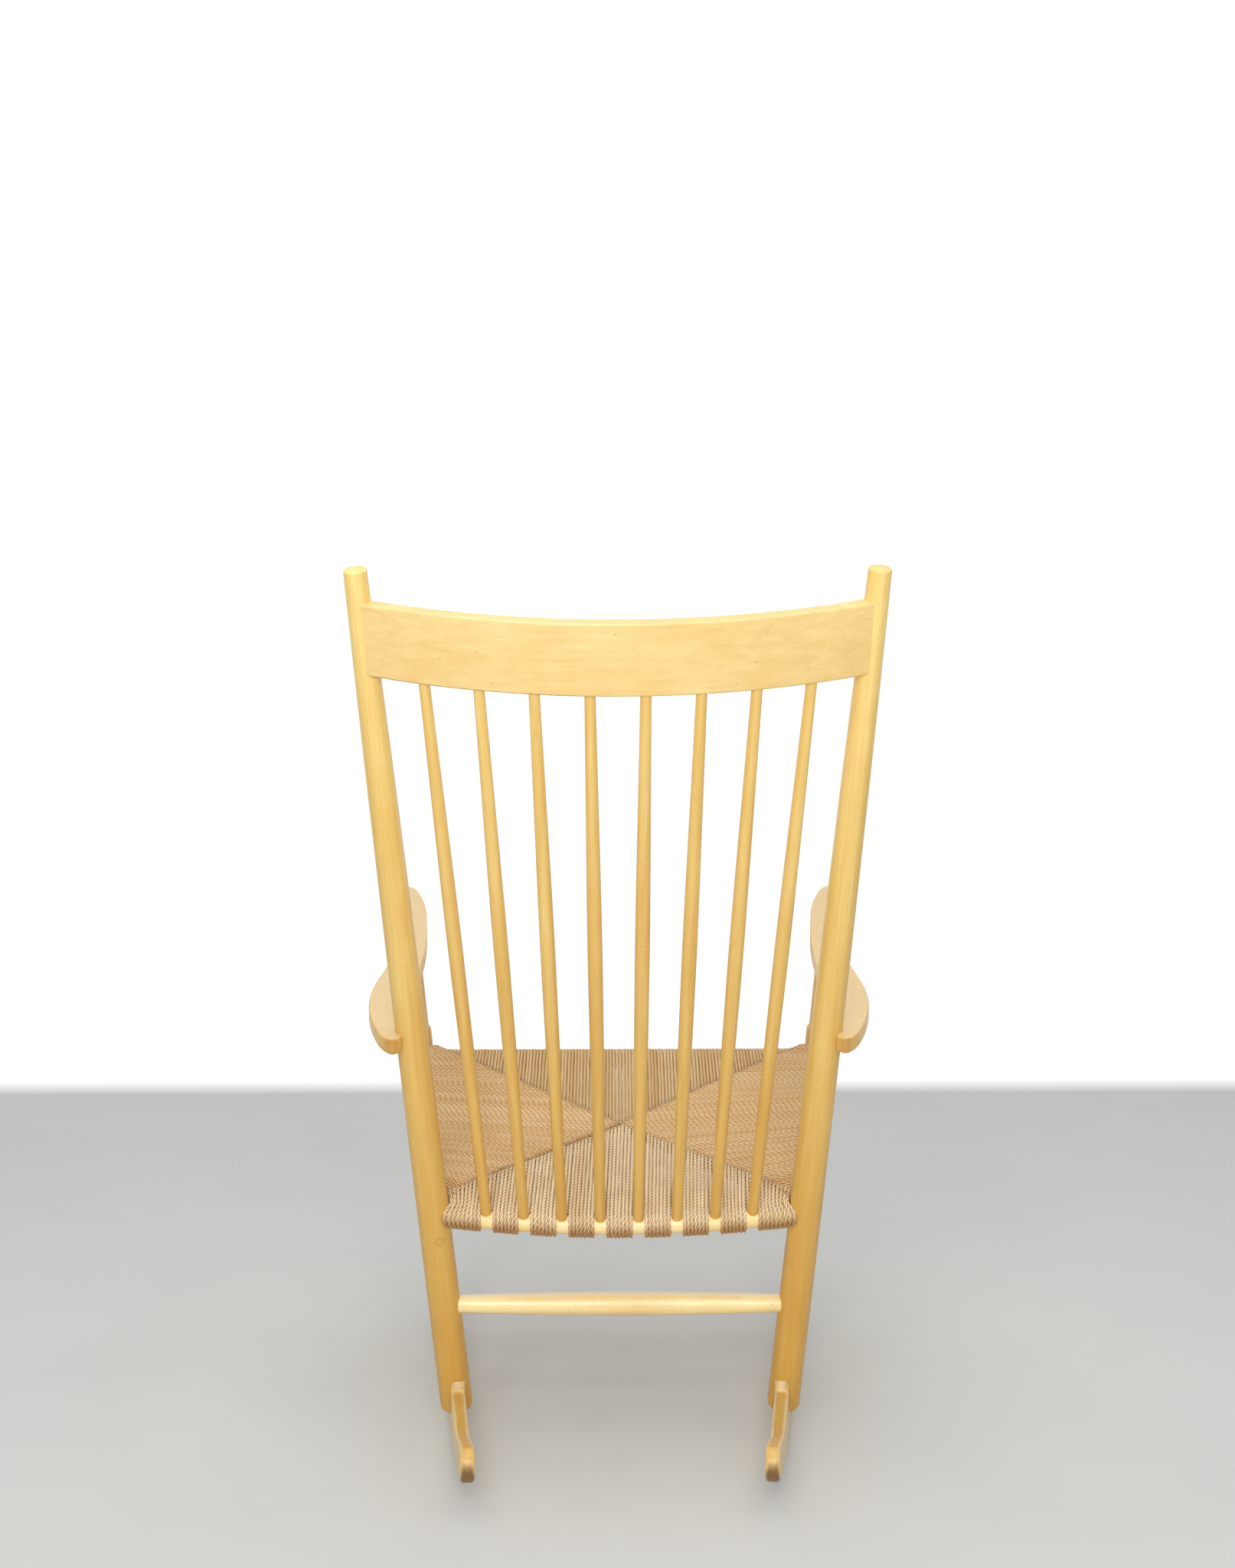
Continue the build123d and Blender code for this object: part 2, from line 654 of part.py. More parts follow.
straight_quarters = {
    "front": (leg_axis_at(1, front_rail_height), leg_axis_at(-1, front_rail_height),
              front_rail_radius, front_seat_rail.part, (front_corners[1], front_corners[-1])),
}
for side, name in sides.items():
    straight_quarters[name] = (
        leg_axis_at(side, side_rail_front_height), post_axis_at(side, side_rail_rear_height),
        side_rail_radius, side_seat_rails[side].part, (front_corners[side], rear_corners[side]),
    )

weaves = {}
for name, (start, end, rail_radius, rail, corners) in straight_quarters.items():
    along = (end - start).normalized()
    to_middle = seat_middle - start
    across = to_middle - along * to_middle.dot(along)
    plane = Plane(origin=start, x_dir=across.normalized(), z_dir=along)
    with BuildPart() as weave:
        add(extrude(wrapped_rail(plane, rail_radius, across.length), amount=(end - start).length))
        add(quarter(*corners), mode=Mode.INTERSECT)
        add([rail, *grown], mode=Mode.SUBTRACT)
    weaves[name] = weave

rail_start = rail_arc @ 0
inward = (rail_arc.arc_center - rail_start).normalized()
bow_normal = Vector(0, sin(slope), cos(slope))
middle_run = seat_middle - rail_middle
lift = atan2(middle_run.Z, -middle_run.Y) - slope
rear_plane = Plane(
    origin=rail_start, x_dir=inward * cos(lift) + bow_normal * sin(lift), z_dir=rail_arc % 0
)
with BuildPart() as weave_rear:
    sweep(sections=wrapped_rail(rear_plane, rear_rail_radius, middle_run.length), path=rail_arc)
    add(quarter(rear_corners[1], rear_corners[-1]), mode=Mode.INTERSECT)
    for point, spindle in zip(rail_points, spindles):
        share = rail_arc.param_at_point(point)
        gap_plane = Plane(origin=point, x_dir=rail_arc % share, z_dir=bow_normal)
        with BuildPart(gap_plane, mode=Mode.SUBTRACT):
            with Locations((0, rear_rail_bow - gap_front, 0)):
                Box(bare_gap, 2 * rear_rail_bow, 4 * rear_rail_radius)
    add([rear_seat_rail.part, *grown], mode=Mode.SUBTRACT)
    add([spindle.part for spindle in spindles], mode=Mode.SUBTRACT)
weaves["rear"] = weave_rear

# ---------------------------------------------------------------- names and files
pieces = {
    "crest_rail": pinned_crest_rail, "crest_pins": crest_pins,
    "rear_seat_rail": rear_seat_rail, "front_seat_rail": front_seat_rail,
    "rear_stretcher": rear_stretcher, "front_stretcher": front_stretcher,
    "rocker_pins": rocker_pins, "arm_screws": arm_screws, "arm_plugs": arm_plugs,
    "back_post_left": back_post, "back_post_right": right_back_post,
    "front_leg_left": front_leg, "front_leg_right": right_front_leg,
}
for side, name in sides.items():
    pieces[f"side_seat_rail_{name}"] = side_seat_rails[side]
    pieces[f"side_stretcher_{name}"] = side_stretchers[side]
    pieces[f"armrest_{name}"] = armrests[side]
    pieces[f"rocker_{name}"] = rockers[side]
for number, spindle in enumerate(spindles):
    pieces[f"spindle_{number + 1}"] = spindle
for name, weave in weaves.items():
    pieces[f"weave_{name}"] = weave

os.makedirs("parts", exist_ok=True)
for label, piece in pieces.items():
    piece.part.label = label
    export_step(piece.part, f"parts/{label}.step")
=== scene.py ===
import math
import random

import bpy
from mathutils import Matrix, Vector


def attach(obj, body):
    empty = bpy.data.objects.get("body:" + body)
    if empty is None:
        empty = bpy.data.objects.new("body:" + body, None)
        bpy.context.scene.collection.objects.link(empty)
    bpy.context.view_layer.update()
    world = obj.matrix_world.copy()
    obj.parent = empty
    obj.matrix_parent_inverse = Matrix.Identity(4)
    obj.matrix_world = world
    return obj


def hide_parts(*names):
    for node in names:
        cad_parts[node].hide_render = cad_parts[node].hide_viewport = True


# Spindle-back rocking chair in lacquered beech with a seat woven in twisted paper cord.
# It faces -Y and +Z is up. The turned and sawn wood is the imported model's own, and the seat
# is woven here cord by cord in place of its four plain quarters.

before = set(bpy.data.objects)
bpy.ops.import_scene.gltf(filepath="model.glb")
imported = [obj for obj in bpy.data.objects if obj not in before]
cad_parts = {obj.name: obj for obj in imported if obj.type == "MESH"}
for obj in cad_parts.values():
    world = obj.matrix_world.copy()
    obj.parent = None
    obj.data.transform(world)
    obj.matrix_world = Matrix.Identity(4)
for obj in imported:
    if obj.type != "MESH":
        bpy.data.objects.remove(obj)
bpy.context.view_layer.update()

# ---------------------------------------------------------------- sizes, in millimetres
cord_radius = 2.1
cord_lead = 21.0        # length in which the three plies turn once
cord_step = 2.3         # between two rings of a cord's mesh
front_cords = 114
side_cords = 91
rear_group_cords = 7    # between two spindles
rear_end_cords = 9      # between a post and the first spindle
gap_cords = 3           # that turn down ahead of the rear rail at each spindle
spindle_places = (-156.0, -111.7, -67.1, -22.4, 22.4, 67.1, 111.7, 156.0)

rear_feet = 129.5       # their place along Y
front_rail = {"y": rear_feet - 358, "z": 372.5, "radius": 11.0, "half": 239.0}
side_rail = {
    "front": Vector((265.5, rear_feet - 357.5, 381.5)),
    "rear": Vector((221.5, rear_feet + 79.4, 314.0)),
    "radius": 11.0, "first": rear_feet - 337.4, "last": rear_feet + 58.5,
}
rear_rail = {
    "y": rear_feet + 73.8, "z": 294.5, "radius": 10.25, "half": 219.8, "bend": 876.9,
    "slope": math.radians(13),
}

seat_middle = Vector((0, rear_feet - 137))
front_corner = Vector((264.7, rear_feet - 358))
rear_corner = Vector((220.7, rear_feet + 76.6))
middle_top, front_corner_top, rear_corner_top = 347.4, 404.0, 318.4
middle_bottom, front_corner_bottom, rear_corner_bottom = 335.1, 361.8, 289.4

front_tuck, front_tuck_from = 5.0, 0.7  # how far a front corner's cords lie under the side ones
side_fan, side_fan_width = 10.0, 36.0   # the side cords' drift toward the post, and where it starts
rear_drift = 5.0                        # of the rear cords toward the chair's middle line
rear_end_first, rear_end_last, rear_end_lean = 165.2, 198.0, 8.5
bare_half = 7.0                         # half the bare rail at a spindle
mm = 0.001


# ---------------------------------------------------------------- helpers
def linear(code):
    """A colour's linear values, from its sRGB hex code."""
    shares = [int(code[place:place + 2], 16) / 255 for place in (1, 3, 5)]
    return [s / 12.92 if s <= 0.04045 else ((s + 0.055) / 1.055) ** 2.4 for s in shares] + [1.0]


def add(tree, kind, inputs=(), **settings):
    """Adds a node with its settings. Each input is fed a value or another node's socket."""
    node = tree.nodes.new(kind)
    for name, value in settings.items():
        setattr(node, name, value)
    for socket, value in dict(inputs).items():
        if isinstance(value, bpy.types.NodeSocket):
            tree.links.new(value, node.inputs[socket])
        else:
            node.inputs[socket].default_value = value
    return node


def blank_material(name):
    """An empty material, its tree, its shader and its output."""
    made = bpy.data.materials.new(name)
    made.use_nodes = True
    tree = made.node_tree
    tree.nodes.clear()
    shader = add(tree, "ShaderNodeBsdfPrincipled")
    add(tree, "ShaderNodeOutputMaterial", {"Surface": shader.outputs[0]})
    return made, tree, shader


# ---------------------------------------------------------------- materials
def with_dark_ends(tree, colour, along, share):
    """Sawn ends, where the lacquer has soaked in and darkened the wood."""
    cut = add(tree, "ShaderNodeNewGeometry")
    lengthwise = add(tree, "ShaderNodeVectorMath", {
        0: cut.outputs["Normal"], 1: along,
    }, operation="DOT_PRODUCT")
    end_share = add(tree, "ShaderNodeMapRange", {
        "Value": lengthwise.outputs["Value"],
        "From Min": 0.45, "From Max": 0.85, "To Min": 0.0, "To Max": share,
    })
    soaked = add(tree, "ShaderNodeMix", {
        0: end_share.outputs[0], 6: colour, 7: linear("#B07A34"),
    }, data_type="RGBA")
    return soaked.outputs[2]


def with_faded_and_lit_tops(tree, colour, streaks, top_colours_faded_and_lit, share):
    """Upper faces painted paler, with darker fine streaks. On the armrests hands and daylight make them fade;
    on the rear rails the paleness is a painted highlight of the light from above.
    """
    facing = add(tree, "ShaderNodeNewGeometry")
    up = add(tree, "ShaderNodeSeparateXYZ", {0: facing.outputs["Normal"]})
    # Upward faces take the paler colours: fading, and on the rear rails a painted highlight.
    up_share = add(tree, "ShaderNodeMapRange", {
        "Value": up.outputs["Z"], "From Min": 0.8, "From Max": 0.985, "To Min": 0.0, "To Max": share,
    })
    tan = add(tree, "ShaderNodeMix", {
        0: streaks.outputs["Fac"], 6: linear(top_colours_faded_and_lit[0]), 7: linear(top_colours_faded_and_lit[1]),
    }, data_type="RGBA")
    faded_and_lit_mix = add(tree, "ShaderNodeMix", {
        0: up_share.outputs[0], 6: colour, 7: tan.outputs[2],
    }, data_type="RGBA")
    return faded_and_lit_mix.outputs[2]


def with_rocker_wear_and_painted_light(tree, place, colour, share):
    """Rockers: flanks painted a little pale as a painted reflection, a top painted darker as painted
    shade, and ends and soles worn brown where they have rolled on and knocked against floors."""
    facing = add(tree, "ShaderNodeNewGeometry")
    turned_to = add(tree, "ShaderNodeSeparateXYZ", {0: facing.outputs["Normal"]})
    flank = add(tree, "ShaderNodeMath", {0: turned_to.outputs["X"]}, operation="ABSOLUTE")
    # Flanks painted paler, a painted reflection of the bright walls.
    flank_reflection_share = add(tree, "ShaderNodeMapRange", {
        "Value": flank.outputs[0], "From Min": 0.25, "From Max": 0.75, "To Min": 0.0, "To Max": 0.3,
    })
    flank_reflected = add(tree, "ShaderNodeMix", {
        0: flank_reflection_share.outputs[0], 6: colour, 7: linear("#F2DEA8"),
    }, data_type="RGBA")
    # The top painted darker, a painted shade of the rounded top.
    top_shade_share = add(tree, "ShaderNodeMapRange", {
        "Value": turned_to.outputs["Z"],
        "From Min": 0.9, "From Max": 0.995, "To Min": 0.0, "To Max": 0.4,
    })
    top_shaded = add(tree, "ShaderNodeMix", {
        0: top_shade_share.outputs[0], 6: flank_reflected.outputs[2], 7: linear("#A67C36"),
    }, data_type="RGBA")
    # Dirt in ragged spots of 3 mm. It grows toward the ends and the sole, and spares the flanks.
    dirt = add(tree, "ShaderNodeTexNoise", {
        "Vector": place.outputs["Object"], "Scale": 320.0, "Detail": 4.0, "Roughness": 0.7,
    })
    endways = add(tree, "ShaderNodeMath", {0: turned_to.outputs["Y"]}, operation="ABSOLUTE")
    not_up = add(tree, "ShaderNodeMath", {
        0: endways.outputs[0], 1: -0.3, 2: turned_to.outputs["Z"],
    }, operation="MULTIPLY_ADD")
    off_flanks = add(tree, "ShaderNodeMath", {
        0: flank.outputs[0], 1: 0.45, 2: not_up.outputs[0],
    }, operation="MULTIPLY_ADD")
    ragged = add(tree, "ShaderNodeMath", {
        0: dirt.outputs["Fac"], 1: 0.7, 2: off_flanks.outputs[0],
    }, operation="MULTIPLY_ADD")
    low_share = add(tree, "ShaderNodeMapRange", {
        "Value": ragged.outputs[0], "From Min": 0.0, "From Max": 0.62, "To Min": share, "To Max": 0.0,
    })
    dirt_colour = add(tree, "ShaderNodeMix", {
        0: dirt.outputs["Fac"], 6: linear("#94652C"), 7: linear("#3A2410"),
    }, data_type="RGBA")
    dirty = add(tree, "ShaderNodeMix", {
        0: low_share.outputs[0], 6: top_shaded.outputs[2], 7: dirt_colour.outputs[2],
    }, data_type="RGBA")
    return dirty.outputs[2]


def with_pin_knot(tree, place, colour, middle):
    """A pin knot's ring, 10 mm across."""
    off = add(tree, "ShaderNodeVectorMath", {
        0: place.outputs["Object"], 1: middle,
    }, operation="DISTANCE")
    ring = add(tree, "ShaderNodeMapRange", {
        "Value": off.outputs["Value"],
        "From Min": 0.001, "From Max": 0.0046, "To Min": 0.0, "To Max": 1.0,
    })
    ring_out = add(tree, "ShaderNodeMapRange", {
        "Value": off.outputs["Value"],
        "From Min": 0.0046, "From Max": 0.008, "To Min": 0.3, "To Max": 0.0,
    })
    ring_share = add(tree, "ShaderNodeMath", {
        0: ring.outputs[0], 1: ring_out.outputs[0],
    }, operation="MULTIPLY")
    knotted = add(tree, "ShaderNodeMix", {
        0: ring_share.outputs[0], 6: colour, 7: linear("#A86F30"),
    }, data_type="RGBA")
    return knotted.outputs[2]


def lacquered_beech(name, along, pale="#F0D689", deep="#E5C36C", figure=1.0, seed=0.0, coat=0.25,
                    top_fading_and_light=0.0, top_colours_faded_and_lit=("#E8D2A2", "#D0AE7A"), shaded="#DEC082", end_grain=0.0,
                    worn_low=0.0, knot=None):
    """Beech under a clear lacquer that has yellowed, turned or sawn and sanded smooth.
    It gives a honey colour in long soft bands along the grain, fine darker streaks, the short
    dark flecks that beech always has, and a low silky gloss. along is the way the grain runs,
    and figure is how far the bands differ. shaded tints the wood near the floor as painted shade.
    Three shares give pale upper faces, dark ends (end_grain) and a rocker's wear (worn_low).
    The pale upper faces are fading on the armrests and a painted highlight on the rear rails; a
    rocker's wear comes with a painted reflection on its flanks and painted shade on its top."""
    made, tree, shader = blank_material(name)
    place = add(tree, "ShaderNodeTexCoord")
    to_grain = Vector(along).rotation_difference(Vector((0, 0, 1))).to_euler()
    grain = add(tree, "ShaderNodeMapping", {
        "Vector": place.outputs["Object"], "Rotation": to_grain,
        "Location": (seed, seed * 1.7, seed * 0.6),
    })

    # Bands of earlier and later growth, about 9 mm wide and a hand long.
    band_place = add(tree, "ShaderNodeMapping", {"Vector": grain.outputs[0], "Scale": (110, 110, 5)})
    bands = add(tree, "ShaderNodeTexNoise", {
        "Vector": band_place.outputs[0], "Scale": 1.0, "Detail": 3.0, "Roughness": 0.55, "Distortion": 0.6,
    })
    band_share = add(tree, "ShaderNodeMapRange", {
        "Value": bands.outputs["Fac"], "From Min": 0.32, "From Max": 0.68, "To Min": 0.0, "To Max": figure,
    })
    body = add(tree, "ShaderNodeMix", {
        0: band_share.outputs[0], 6: linear(pale), 7: linear(deep),
    }, data_type="RGBA")

    # Grain streaks, drawn 1.4 mm wide, about three times the real ones, so that they show.
    streak_place = add(tree, "ShaderNodeMapping", {"Vector": grain.outputs[0], "Scale": (700, 700, 14)})
    streaks = add(tree, "ShaderNodeTexNoise", {
        "Vector": streak_place.outputs[0], "Scale": 1.0, "Detail": 4.0, "Roughness": 0.65,
    })
    streak_share = add(tree, "ShaderNodeMapRange", {
        "Value": streaks.outputs["Fac"], "From Min": 0.5, "From Max": 0.8, "To Min": 0.0, "To Max": 0.24,
    })
    streaked = add(tree, "ShaderNodeMix", {
        0: streak_share.outputs[0], 6: body.outputs[2], 7: linear("#B9803A"),
    }, data_type="RGBA")

    # Ray flecks, 0.8 mm by 5 mm.
    fleck_place = add(tree, "ShaderNodeMapping", {"Vector": grain.outputs[0], "Scale": (1200, 1200, 190)})
    flecks = add(tree, "ShaderNodeTexNoise", {
        "Vector": fleck_place.outputs[0], "Scale": 1.0, "Detail": 2.0, "Roughness": 0.5,
    })
    fleck_share = add(tree, "ShaderNodeMapRange", {
        "Value": flecks.outputs["Fac"], "From Min": 0.66, "From Max": 0.78, "To Min": 0.0, "To Max": 0.45,
    })
    flecked = add(tree, "ShaderNodeMix", {
        0: fleck_share.outputs[0], 6: streaked.outputs[2], 7: linear("#8A5A28"),
    }, data_type="RGBA")

    # Lacquer that has yellowed unevenly, in patches the size of a hand with a finer mottle.
    patches = add(tree, "ShaderNodeTexNoise", {
        "Vector": place.outputs["Object"], "Scale": 9.0, "Detail": 6.0, "Roughness": 0.62,
    })
    patch_share = add(tree, "ShaderNodeMapRange", {
        "Value": patches.outputs["Fac"], "From Min": 0.4, "From Max": 0.68, "To Min": 0.0, "To Max": 0.3,
    })
    yellowed = add(tree, "ShaderNodeMix", {
        0: patch_share.outputs[0], 6: flecked.outputs[2], 7: linear("#DCA848"),
    }, data_type="RGBA")
    # Wood is painted a deeper orange toward the floor, a painted shade for the dimmer light low down.
    spot = add(tree, "ShaderNodeSeparateXYZ", {0: place.outputs["Object"]})
    low = add(tree, "ShaderNodeMapRange", {
        "Value": spot.outputs["Z"], "From Min": 0.05, "From Max": 1.0, "To Min": 1.0, "To Max": 0.0,
    })
    deepened = add(tree, "ShaderNodeMix", {
        0: low.outputs[0], 6: yellowed.outputs[2], 7: linear(shaded),
    }, data_type="RGBA", blend_type="MULTIPLY")

    # Specks of old dirt, 1 to 2 mm, few and far between.
    specks = add(tree, "ShaderNodeTexVoronoi", {
        "Vector": place.outputs["Object"], "Scale": 62.0, "Randomness": 1.0,
    })
    speck_share = add(tree, "ShaderNodeMapRange", {
        "Value": specks.outputs["Distance"],
        "From Min": 0.035, "From Max": 0.06, "To Min": 0.5, "To Max": 0.0,
    })
    specked = add(tree, "ShaderNodeMix", {
        0: speck_share.outputs[0], 6: deepened.outputs[2], 7: linear("#6E4A24"),
    }, data_type="RGBA")
    colour = specked.outputs[2]

    if end_grain:
        colour = with_dark_ends(tree, colour, along, end_grain)
    if top_fading_and_light:
        colour = with_faded_and_lit_tops(tree, colour, streaks, top_colours_faded_and_lit, top_fading_and_light)
    if worn_low:
        colour = with_rocker_wear_and_painted_light(tree, place, colour, worn_low)
    if knot:
        colour = with_pin_knot(tree, place, colour, knot)

    gloss = add(tree, "ShaderNodeMapRange", {
        "Value": patches.outputs["Fac"], "From Min": 0.3, "From Max": 0.7, "To Min": 0.36, "To Max": 0.48,
    })
    relief = add(tree, "ShaderNodeBump", {
        "Height": streaks.outputs["Fac"], "Strength": 0.12, "Distance": 0.0004,
    })
    tree.links.new(colour, shader.inputs["Base Color"])
    tree.links.new(gloss.outputs[0], shader.inputs["Roughness"])
    tree.links.new(relief.outputs[0], shader.inputs["Normal"])
    shader.inputs["IOR"].default_value = 1.5
    shader.inputs["Coat Weight"].default_value = coat
    shader.inputs["Coat Roughness"].default_value = 0.22
    return made


def twisted_paper_cord():
    """Kraft paper twisted into three plies, and the plies into a cord. It gives a dry tan with
    the grooves between the plies painted dark as painted shade, a faint waxy shine, and cords
    that differ a little from one to the next. Where the cord wraps round the lower outer side of
    the rear rail it is darker and glossier."""
    made, tree, shader = blank_material("twisted_paper_cord")
    place = add(tree, "ShaderNodeTexCoord")
    ply = add(tree, "ShaderNodeAttribute", attribute_name="ply")
    tone = add(tree, "ShaderNodeAttribute", attribute_name="cord_tone")
    handled = add(tree, "ShaderNodeAttribute", attribute_name="handled")
    cords = add(tree, "ShaderNodeMix", {
        0: tone.outputs["Fac"], 6: linear("#D8B279"), 7: linear("#FBE8C4"),
    }, data_type="RGBA")
    # Fibres and creases of the paper, 1 mm.
    paper = add(tree, "ShaderNodeTexNoise", {
        "Vector": place.outputs["Object"], "Scale": 900.0, "Detail": 3.0, "Roughness": 0.6,
    })
    paper_share = add(tree, "ShaderNodeMapRange", {
        "Value": paper.outputs["Fac"], "From Min": 0.35, "From Max": 0.75, "To Min": 0.0, "To Max": 0.3,
    })
    creased = add(tree, "ShaderNodeMix", {
        0: paper_share.outputs[0], 6: cords.outputs[2], 7: linear("#CF9E62"),
    }, data_type="RGBA")
    # Uneven ageing, in patches of 30 mm.
    ageing = add(tree, "ShaderNodeTexNoise", {
        "Vector": place.outputs["Object"], "Scale": 30.0, "Detail": 2.0, "Roughness": 0.5,
    })
    age_share = add(tree, "ShaderNodeMapRange", {
        "Value": ageing.outputs["Fac"], "From Min": 0.4, "From Max": 0.7, "To Min": 0.0, "To Max": 0.25,
    })
    aged = add(tree, "ShaderNodeMix", {
        0: age_share.outputs[0], 6: creased.outputs[2], 7: linear("#D0A066"),
    }, data_type="RGBA")
    # Dust and shade where a cord dives between the layers at a seam.
    sunk = add(tree, "ShaderNodeAttribute", attribute_name="sunk")
    sunk_share = add(tree, "ShaderNodeMath", {0: sunk.outputs["Fac"], 1: 0.75}, operation="MULTIPLY")
    dusty_and_shaded = add(tree, "ShaderNodeMix", {
        0: sunk_share.outputs[0], 6: aged.outputs[2], 7: linear("#7C5830"),
    }, data_type="RGBA")
    # Darker and glossier on the lower outer side of the rear rail's wraps.
    under_rail_tinted = add(tree, "ShaderNodeMix", {
        0: handled.outputs["Fac"], 6: dusty_and_shaded.outputs[2], 7: linear("#B67A34"),
    }, data_type="RGBA")
    # The grooves between the plies are painted dark, a painted shade.
    on_top = add(tree, "ShaderNodeMapRange", {
        "Value": ply.outputs["Fac"], "From Min": 0.0, "From Max": 0.55, "To Min": 0.0, "To Max": 1.0,
    })
    groove_shaded = add(tree, "ShaderNodeMix", {
        0: on_top.outputs[0], 6: linear("#61401E"), 7: under_rail_tinted.outputs[2],
    }, data_type="RGBA")
    gloss = add(tree, "ShaderNodeMapRange", {
        "Value": handled.outputs["Fac"], "From Min": 0.0, "From Max": 1.0, "To Min": 0.7, "To Max": 0.4,
    })
    relief = add(tree, "ShaderNodeBump", {
        "Height": paper.outputs["Fac"], "Strength": 0.25, "Distance": 0.0004,
    })
    tree.links.new(groove_shaded.outputs[2], shader.inputs["Base Color"])
    tree.links.new(gloss.outputs[0], shader.inputs["Roughness"])
    tree.links.new(relief.outputs[0], shader.inputs["Normal"])
    shader.inputs["IOR"].default_value = 1.5
    return made


def plain_steel():
    """Bare steel of a wood screw, turned and a little dull."""
    made, tree, shader = blank_material("plain_steel_screw")
    place = add(tree, "ShaderNodeTexCoord")
    turning = add(tree, "ShaderNodeTexNoise", {
        "Vector": place.outputs["Object"], "Scale": 2000.0, "Detail": 2.0, "Roughness": 0.5,
    })
    gloss = add(tree, "ShaderNodeMapRange", {
        "Value": turning.outputs["Fac"], "From Min": 0.3, "From Max": 0.7, "To Min": 0.28, "To Max": 0.42,
    })
    tree.links.new(gloss.outputs[0], shader.inputs["Roughness"])
    shader.inputs["Base Color"].default_value = linear("#C2C1BE")
    shader.inputs["Metallic"].default_value = 1.0
    return made


def length_of(node):
    """The way a straight node runs, from end to end."""
    points = [vertex.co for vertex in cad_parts[node].data.vertices]
    middle = sum(points, Vector()) / len(points)
    far = max(points, key=lambda point: (point - middle).length_squared)
    other = max(points, key=lambda point: (point - far).length_squared)
    return (far - other).normalized()


across_chair, along_chair = Vector((1, 0, 0)), Vector((0, 1, 0))
seed_step = 0.37        # so that no two pieces are cut from the same place of the grain
pin_knot = (0.2117, 0.2143, 0.264)      # on the left post below the seat, in metres
for number, (node, piece) in enumerate(sorted(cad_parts.items())):
    if node.startswith("weave"):
        continue
    seed = seed_step * number
    if node.startswith("arm_screws"):
        material = plain_steel()
    elif node.startswith("armrest"):
        material = lacquered_beech(
            node + "_beech", along_chair, top_fading_and_light=0.85, coat=0.08, end_grain=0.7, seed=seed)
    elif node.startswith("rocker_pins") or node.startswith("crest_pins") or node == "arm_plugs":
        material = lacquered_beech(node + "_beech", across_chair, seed=seed)
    elif node.startswith("rocker"):
        material = lacquered_beech(
            node + "_beech", along_chair, pale="#EFDDA6", deep="#DDC27E", shaded="#E4CE9C", worn_low=0.95,
            coat=0.45, seed=seed)
    elif node in ("rear_seat_rail", "rear_stretcher"):
        # The rails' upper sides are painted near white, a painted highlight of the light from above.
        material = lacquered_beech(
            node + "_beech", across_chair, pale="#FDEFC6", deep="#F6DC9F", figure=0.7, coat=0.5,
            top_fading_and_light=0.75, top_colours_faded_and_lit=("#FFFBEC", "#FFF1D0"), shaded="#F6EACA", seed=seed)
    elif node.startswith("spindle"):
        material = lacquered_beech(
            node + "_beech", length_of(node), pale="#EDD083", deep="#E0BA66", seed=seed)
    elif node == "crest_rail":
        material = lacquered_beech(
            node + "_beech", across_chair, pale="#EDD190", deep="#E2C078", figure=0.8, seed=seed)
    elif node == "back_post_left":
        material = lacquered_beech(
            node + "_beech", length_of(node), knot=pin_knot, seed=seed)
    else:
        material = lacquered_beech(node + "_beech", length_of(node), seed=seed)
    for slot in piece.material_slots:
        slot.material = material


# ---------------------------------------------------------------- the seat's cords
def seam(share, corner, corner_top, corner_bottom):
    """A point of a seam between two quarters: its plan, and the heights of the seat's upper
    and lower faces there. share runs from 0 at the middle of the seat to 1 at the corner."""
    plan = seat_middle + (corner - seat_middle) * share
    top = middle_top + (corner_top - middle_top) * share
    bottom = middle_bottom + (corner_bottom - middle_bottom) * share
    return plan, top - cord_radius, bottom + cord_radius


def touching(end, radius, way):
    """The angle at which a cord from end meets a rail round the origin."""
    away = max(math.hypot(*end), 1.0001 * radius)
    return math.atan2(end[1], end[0]) + way * math.acos(radius / away)


def round_rail(radius, low_end, high_end, middle=(0, 0)):
    """A cord's line in the upright plane across a rail, as (inward, up) from the rail's axis:
    in along the lower face, round the outer side and back over the upper face."""
    low = (low_end[0] - middle[0], low_end[1] - middle[1])
    high = (high_end[0] - middle[0], high_end[1] - middle[1])
    start = touching(low, radius, -1)
    stop = touching(high, radius, 1) - 2 * math.pi
    bends = 16
    line = [low]
    for bend in range(bends + 1):
        turn = start + (stop - start) * bend / bends
        line.append((radius * math.cos(turn), radius * math.sin(turn)))
    line.append(high)
    return [(inward + middle[0], rise + middle[1]) for inward, rise in line]


def filled(line, spacing=9.0):
    """The same line with its long straight runs divided."""
    out = [line[0]]
    for start, stop in zip(line, line[1:]):
        steps = max(1, round(math.dist(start, stop) / spacing))
        for step in range(1, steps + 1):
            out.append(tuple(a + (b - a) * step / steps for a, b in zip(start, stop)))
    return out


hand = random.Random(16)


def lay_cord(group, points, handled=None, paler=0.0):
    """Adds a cord to its group, a little unevenly laid as by hand, with its own tone and twist."""
    sway, lift = hand.uniform(-0.18, 0.18), hand.uniform(-0.14, 0.14)
    phase = hand.uniform(0, 6.28)
    laid = []
    for index, point in enumerate(points):
        wave = 0.12 * math.sin(0.7 * index + phase)
        laid.append((point[0] + sway + wave, point[1] + sway, point[2] + lift))
    group.append({
        "points": laid, "tone": 0.12 + 0.34 * hand.random() + paler, "turn": hand.uniform(0, 6.28),
        "handled": handled or [0.0] * len(points),
    })


